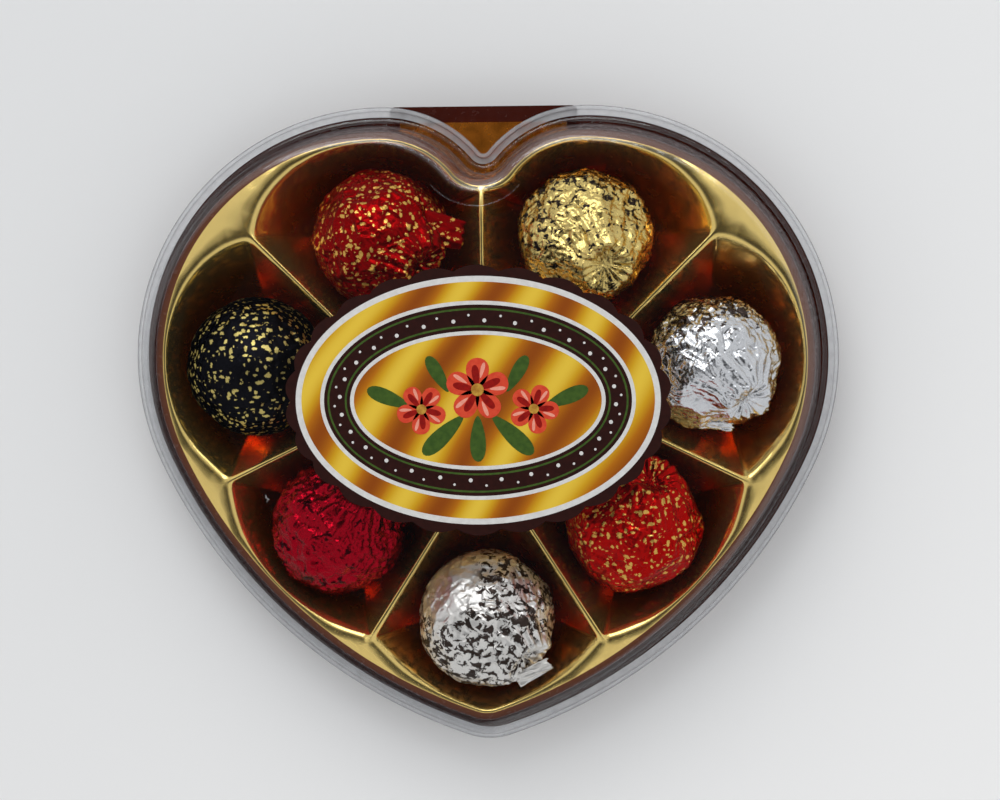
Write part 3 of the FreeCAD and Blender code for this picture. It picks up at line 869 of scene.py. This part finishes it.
def pralines():
    """The seven wrapped pralines: direction of the gathered end, look and shape of each foil."""
    nuts = speckled("nut_coat", srgb(74, 38, 16), srgb(196, 146, 84), 900, 0.7)
    sparse = dict(flecked=(0.12, 0.47), size=0.0009)
    crowded = dict(flecked=(0.13, 0.44), size=0.0009)
    wraps = [
        ("top_left", "foil_red", (-32, 38),
         dict(ground=DEEP_RED, fleck=WARM_GOLD, rough=0.34, **sparse),
         dict(cut=0.07, planes=70, rough=0.24, pleats=15,
              clefts=[(-22, 18, 10, 0.5, 2.2, 0.07), (20, 50, 60, 0.5, 0.6, 0.04)],
              flaps=[((9.5, 2.5, 8.4), (18.0, 0.4, 4.4), 8.0, (0.5, 0.1, 0.9)),
                     ((8.0, -7, 9.4), (15.0, -9.4, 6.6), 4.0, (0.4, -0.3, 0.9))])),
        ("left", "foil_black", (160, -90),
         dict(ground=COAL, fleck=COOL_GOLD, rough=0.42, edge=0.2, **crowded),
         dict(cut=0.03, planes=160, rough=0.14, pleats=24)),
        ("lower_left", "foil_crimson", (55, 40),
         dict(ground=CRIMSON, fleck=DARK_CRIMSON, share=0.16, size=0.003, rough=0.26),
         dict(cut=0.08, planes=70, rough=0.34, pleats=16)),
        ("bottom", "foil_silver", (-42, 32),
         dict(ground=UMBER, fleck=WARM_SILVER, share=0.55, size=0.0017, rough=0.42,
              solid=[(135, 35, 11.6, 13.0), (-40, 18, 13.2, 14.0)]),
         dict(cut=0.06, planes=80, rough=0.2, pleats=16, cuts=[(-45, 20, 0.88)],
              flaps=[((6.4, -12.6, 4.4), (13.8, -8.6, 4.4), 3.8, (0.3, -0.35, 0.9))])),
        ("lower_right", "foil_red", (70, 35),
         dict(ground=RED, fleck=WARM_GOLD, rough=0.34, **sparse),
         dict(cut=0.07, planes=70, rough=0.24, pleats=15,
              clefts=[(-5, 25, 80, 0.5, 1.8, 0.05), (-75, 20, 15, 0.6, 1.0, 0.04)])),
        ("right", "foil_silver", (-45, 40),
         dict(ground=SILVER, fleck=UMBER, share=0.52, size=0.0018, rough=0.22,
              plain=(-60, 35, -3.0, 9.0, 0.3)),
         dict(cut=0.07, planes=60, rough=0.36, pleats=13, calm=(-65, 40),
              cuts=[(-72, 28, 0.84), (-20, 34, 0.88), (-95, 58, 0.91), (-60, 62, 0.93)],
              flaps=[((-3, -12.4, 3.6), (4.5, -13.2, 2.6), 3.0, (0, -1, 0.7))])),
        ("top_right", "foil_gold", (-50, 58),
         dict(ground=PALE_GOLD, fleck=SOOT, share=0.6, size=0.0015, rough=0.26,
              plain=(-50, 58, -14.0, 14.0, 0.13)),
         dict(cut=0.08, planes=80, rough=0.3, pleats=14, cuts=[(35, 40, 0.9), (-110, 40, 0.9)],
              clefts=[(-10, 62, 40, 0.45, 0.9, 0.03)])),
    ]
    for (name, slot, gather, look, shape), seed in zip(wraps, range(3, 30, 3)):
        centre = SEATED[name]
        obj = wrap(name, centre, aim(*gather), seed, foil(name + "_foil", centre, **look), **shape)
        coat(name, centre, seed, nuts)


# Label

def slab(loops, low, high):
    """Closed slab between two heights from one outline, or from an outer and an inner one."""
    count = len(loops[0])
    verts = np.concatenate([raised(loop, z) for loop in loops for z in (low, high)])
    numbers = [np.arange(count) + i * count for i in range(2 * len(loops))]
    faces = strip(numbers[0], numbers[1])
    if len(loops) == 1:
        return verts, faces + [numbers[1].tolist(), numbers[0][::-1].tolist()]
    faces += strip(numbers[3], numbers[2]) + strip(numbers[1], numbers[3]) + strip(numbers[2], numbers[0])
    return verts, faces


def layer(name, shapes, low, high, mat):
    """One printed colour of the label: many slabs in one mesh."""
    verts, faces, first = [], [], 0
    for loops in shapes:
        v, f = slab(loops, LID_TOP + low, LID_TOP + high)
        verts.append(v)
        faces += [[k + first for k in face] for face in f]
        first += len(v)
    obj = build(name, np.concatenate(verts), faces, mat, smooth=False)
    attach(obj, "lid")
    return obj


def circle_of(count):
    """Unit points round a circle."""
    angle = np.linspace(0, 2 * math.pi, count, endpoint=False)
    return np.column_stack([np.cos(angle), np.sin(angle)])


def oval(inset):
    """Oval inside the label's outline."""
    return LABEL + (HALF - inset) * circle_of(240)


def disc(centre, radius, count=20):
    """Round spot."""
    return np.array(centre) + radius * circle_of(count)


def scalloped():
    """The label's outline: outward arcs between points on an oval."""
    points = []
    inset = np.array([SCALLOP_DEPTH, 0, SCALLOP_DEPTH])
    for k in range(SCALLOPS):
        turn = np.array([2 * k, 2 * k + 1, 2 * k + 2]) * math.pi / SCALLOPS
        x, y = (HALF[0] - inset) * np.cos(turn), (HALF[1] - inset) * np.sin(turn)
        a, b, c = LABEL + np.column_stack([x, y])
        for t in np.linspace(0, 1, 10, endpoint=False):
            points.append(a * (1 - t) * (1 - 2 * t) + b * 4 * t * (1 - t) + c * t * (2 * t - 1))
    return np.array(points)


def petal(centre, angle, length, width, start=0.0):
    """Petal or leaf that points away from a centre."""
    t = np.linspace(0, 2 * math.pi, 24, endpoint=False)
    along = start + length * (0.5 - 0.5 * np.cos(t))
    across = width / 2 * np.sin(t) * (0.75 + 0.25 * -np.cos(t))
    c, s = math.cos(angle), math.sin(angle)
    return np.array(centre) + np.column_stack([along * c - across * s, along * s + across * c])


def label():
    """Generic oval label: brown scalloped edge, gold satin, dotted brown band and a coral blossom spray."""
    cocoa = print_ink("cocoa_ink", srgb(36, 9, 5), srgb(44, 13, 8))
    chalk = print_ink("chalk_ink", srgb(218, 217, 214), srgb(208, 206, 203))
    leaf = print_ink("leaf_ink", srgb(52, 78, 28), srgb(66, 92, 34))
    coral = print_ink("coral_ink", srgb(216, 76, 50), srgb(206, 64, 42))
    dark = print_ink("dark_coral_ink", srgb(150, 16, 8), srgb(128, 10, 6))
    pale = print_ink("pale_coral_ink", srgb(236, 160, 140), srgb(228, 146, 126))
    nut = print_ink("nut_ink", srgb(196, 150, 60), srgb(160, 108, 38))

    # Card, satin field and band
    card = layer("label_card", [[scalloped()]], CARD_LOW, CARD_TOP, cocoa)
    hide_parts("lid_label")
    layer("label_keyline", [[oval(2.3), oval(3.5)]], CARD_TOP, 0.07, chalk)
    layer("label_satin", [[oval(3.5)]], CARD_TOP, SATIN_TOP, satin_print())
    layer("label_band", [[oval(8.2), oval(13.6)]], SATIN_TOP, BAND_TOP, cocoa)
    layer("label_band_lines", [[oval(7.4), oval(8.2)], [oval(13.6), oval(14.4)]], SATIN_TOP, 0.09, chalk)
    layer("label_green_lines", [[oval(8.9), oval(9.3)], [oval(12.5), oval(12.9)]], BAND_TOP, 0.092, leaf)
    dots, dot_count, dot_inset, dot_swing = [], 56, 10.9, 0.55
    for k in range(dot_count):
        turn = 2 * math.pi * (k + 0.5) / dot_count
        middle = HALF - dot_inset - (dot_swing if k % 2 else -dot_swing)
        at = LABEL + middle * (math.cos(turn), math.sin(turn))
        dots.append([disc(at, 0.42 if k % 2 else 0.26, 12)])
    layer("label_dots", dots, BAND_TOP, 0.095, chalk)

    # Leaves and blossoms
    leaves, petals, shades, lights, hearts = [], [], [], [], []
    for centre, angle, length, width in (
        ((-3, 4), 3.9, 11.5, 4.6), ((3, 4), -0.76, 11.5, 4.6),
        ((-14, 6), 2.75, 9.5, 4.0), ((14, 6), 0.39, 9.5, 4.0),
        ((-6, 9), 2.1, 8.5, 3.6), ((6, 9), 1.04, 8.5, 3.6), ((0, 4), -1.57, 9.5, 4.2),
    ):
        leaves.append([petal(centre, angle, length, width)])
    for centre, size, spin in (((0.0, 9.4), 6.6, 0.3), ((-11.6, 5.4), 5.2, 0.9), ((11.6, 5.4), 5.2, -0.1)):
        for k in range(5):
            turn = spin + k * 2 * math.pi / 5
            petals.append([petal(centre, turn, size, size * 0.92)])
            shades.append([petal(centre, turn + 0.12, size * 0.72, size * 0.3, 0.4)])
            lights.append([petal(centre, turn - 0.24, size * 0.5, size * 0.16, size * 0.38)])
        hearts.append([disc(centre, size * 0.2)])
    layer("label_leaves", leaves, SATIN_TOP, 0.1, leaf)
    layer("label_petals", petals, SATIN_TOP, PETAL_TOP, coral)
    layer("label_petal_shade", shades, PETAL_TOP, 0.126, dark)
    layer("label_petal_light", lights, PETAL_TOP, 0.132, pale)
    layer("label_stamens", hearts, PETAL_TOP, 0.145, nut)


# Base pan and fillings

def carried():
    """Looks of the solids that show as they are."""
    filling = speckled("praline_filling", srgb(70, 34, 16), srgb(110, 62, 34), 500, 0.5)
    for name, obj in frame["nodes"].items():
        if name == "base_pan" or name.endswith("_filling"):
            obj.data.materials.clear()
            obj.data.materials.append(BROWN if name == "base_pan" else filling)


# Stage, light and camera

def pale_floor():
    """Pale floor with painted light: a little brighter towards the lower right."""
    m, tree, shader = material("floor", Roughness=0.75)
    # Painted light: the colour brightens towards the lower right
    across = toward(tree, (0, 0, 0), aim(-55, 0), -140, 160)
    tone = math_node(tree, "MULTIPLY_ADD", noise(tree, 6.0, 2.0).outputs["Fac"], 0.1, third=across)
    colour = mix(tree, tone, (0.73, 0.735, 0.74, 1), (0.93, 0.925, 0.92, 1))
    tree.links.new(colour, shader.inputs["Base Color"])
    size = 3000.0
    corners = [[-size, -size, 0], [size, -size, 0], [size, size, 0], [-size, size, 0]]
    floor = build("floor", corners, [[0, 1, 2, 3]], m)


def lamp_row():
    """Row of lamp bars behind the lobes, for small bright reflections."""
    count, pitch, first_x, half_width = 14, 30, -195, 6
    (low_y, low_z), (high_y, high_z) = (260, 315), (235, 350)
    lamp, tree, _ = material("lamp")
    tree.nodes.clear()
    glow = add(tree, "Emission", {"Color": (0.92, 0.95, 1, 1), "Strength": 9.0})
    tree.links.new(glow.outputs[0], add(tree, "OutputMaterial").inputs["Surface"])
    verts = []
    for k in range(count):
        left, right = first_x + k * pitch - half_width, first_x + k * pitch + half_width
        verts += [[left, low_y, low_z], [right, low_y, low_z]]
        verts += [[right, high_y, high_z], [left, high_y, high_z]]
    row = build("lamp_row", verts, np.arange(4 * count).reshape(count, 4), lamp, smooth=False)
    row.visible_camera = False
    row.visible_diffuse = False


def world():
    """Soft surround, dark straight above so that the clear face stays clear."""
    surround = bpy.data.worlds.new("surround")
    bpy.context.scene.world = surround
    surround.use_nodes = True
    tree = surround.node_tree
    direction = add(tree, "TexCoord").outputs["Generated"]
    above = aim(-125, 83)
    height = add(tree, "VectorMath", {0: direction, 1: above}, operation="DOT_PRODUCT").outputs["Value"]
    ramp = add(tree, "ValToRGB", {0: height})
    pale, dark = ramp.color_ramp.elements
    pale.position, pale.color = 0.85, (0.88, 0.89, 0.9, 1)
    dark.position, dark.color = 0.97, (0.03, 0.03, 0.033, 1)
    background = tree.nodes["Background"]
    tree.links.new(ramp.outputs[0], background.inputs["Color"])
    background.inputs["Strength"].default_value = 1.0


def key_light():
    """Large soft lamp above and behind the lobes, turned to the box."""
    spot, target = Vector((-0.15, 0.75, 0.75)), Vector((0, 0, 0.02))
    data = bpy.data.lights.new("key", "AREA")
    data.shape = "DISK"
    data.size = 0.7
    data.energy = 3.6
    obj = bpy.data.objects.new("key", data)
    bpy.context.scene.collection.objects.link(obj)
    obj.location = spot
    obj.rotation_euler = (target - spot).to_track_quat("-Z", "Y").to_euler()


def camera():
    """Camera above the box, a little to the right and towards the lobes."""
    tilt_x, tilt_y, roll = math.radians(3.85), math.radians(4.64), -0.0114
    target, distance = Vector((0.002913, 0.00518, 0.011)), 0.67
    back = Vector((math.sin(tilt_x), math.sin(tilt_y), 0))
    back.z = math.sqrt(1 - back.length_squared)
    right = Vector((0, 1, 0)).cross(back).normalized()
    up = back.cross(right)
    across = right * math.cos(roll) + up * math.sin(roll)
    over = up * math.cos(roll) - right * math.sin(roll)
    spot = target + back * distance
    data = bpy.data.cameras.new("camera")
    data.lens = 112.8
    data.sensor_width = 36
    obj = bpy.data.objects.new("camera", data)
    bpy.context.scene.collection.objects.link(obj)
    obj.matrix_world = Matrix((
        (across.x, over.x, back.x, spot.x), (across.y, over.y, back.y, spot.y),
        (across.z, over.z, back.z, spot.z), (0, 0, 0, 1),
    ))
    bpy.context.scene.camera = obj


lid()
tray()
tray_border()
base_rim()
pralines()
label()
carried()
pale_floor()
lamp_row()
world()
key_light()
camera()
bpy.context.scene.view_settings.view_transform = "Standard"
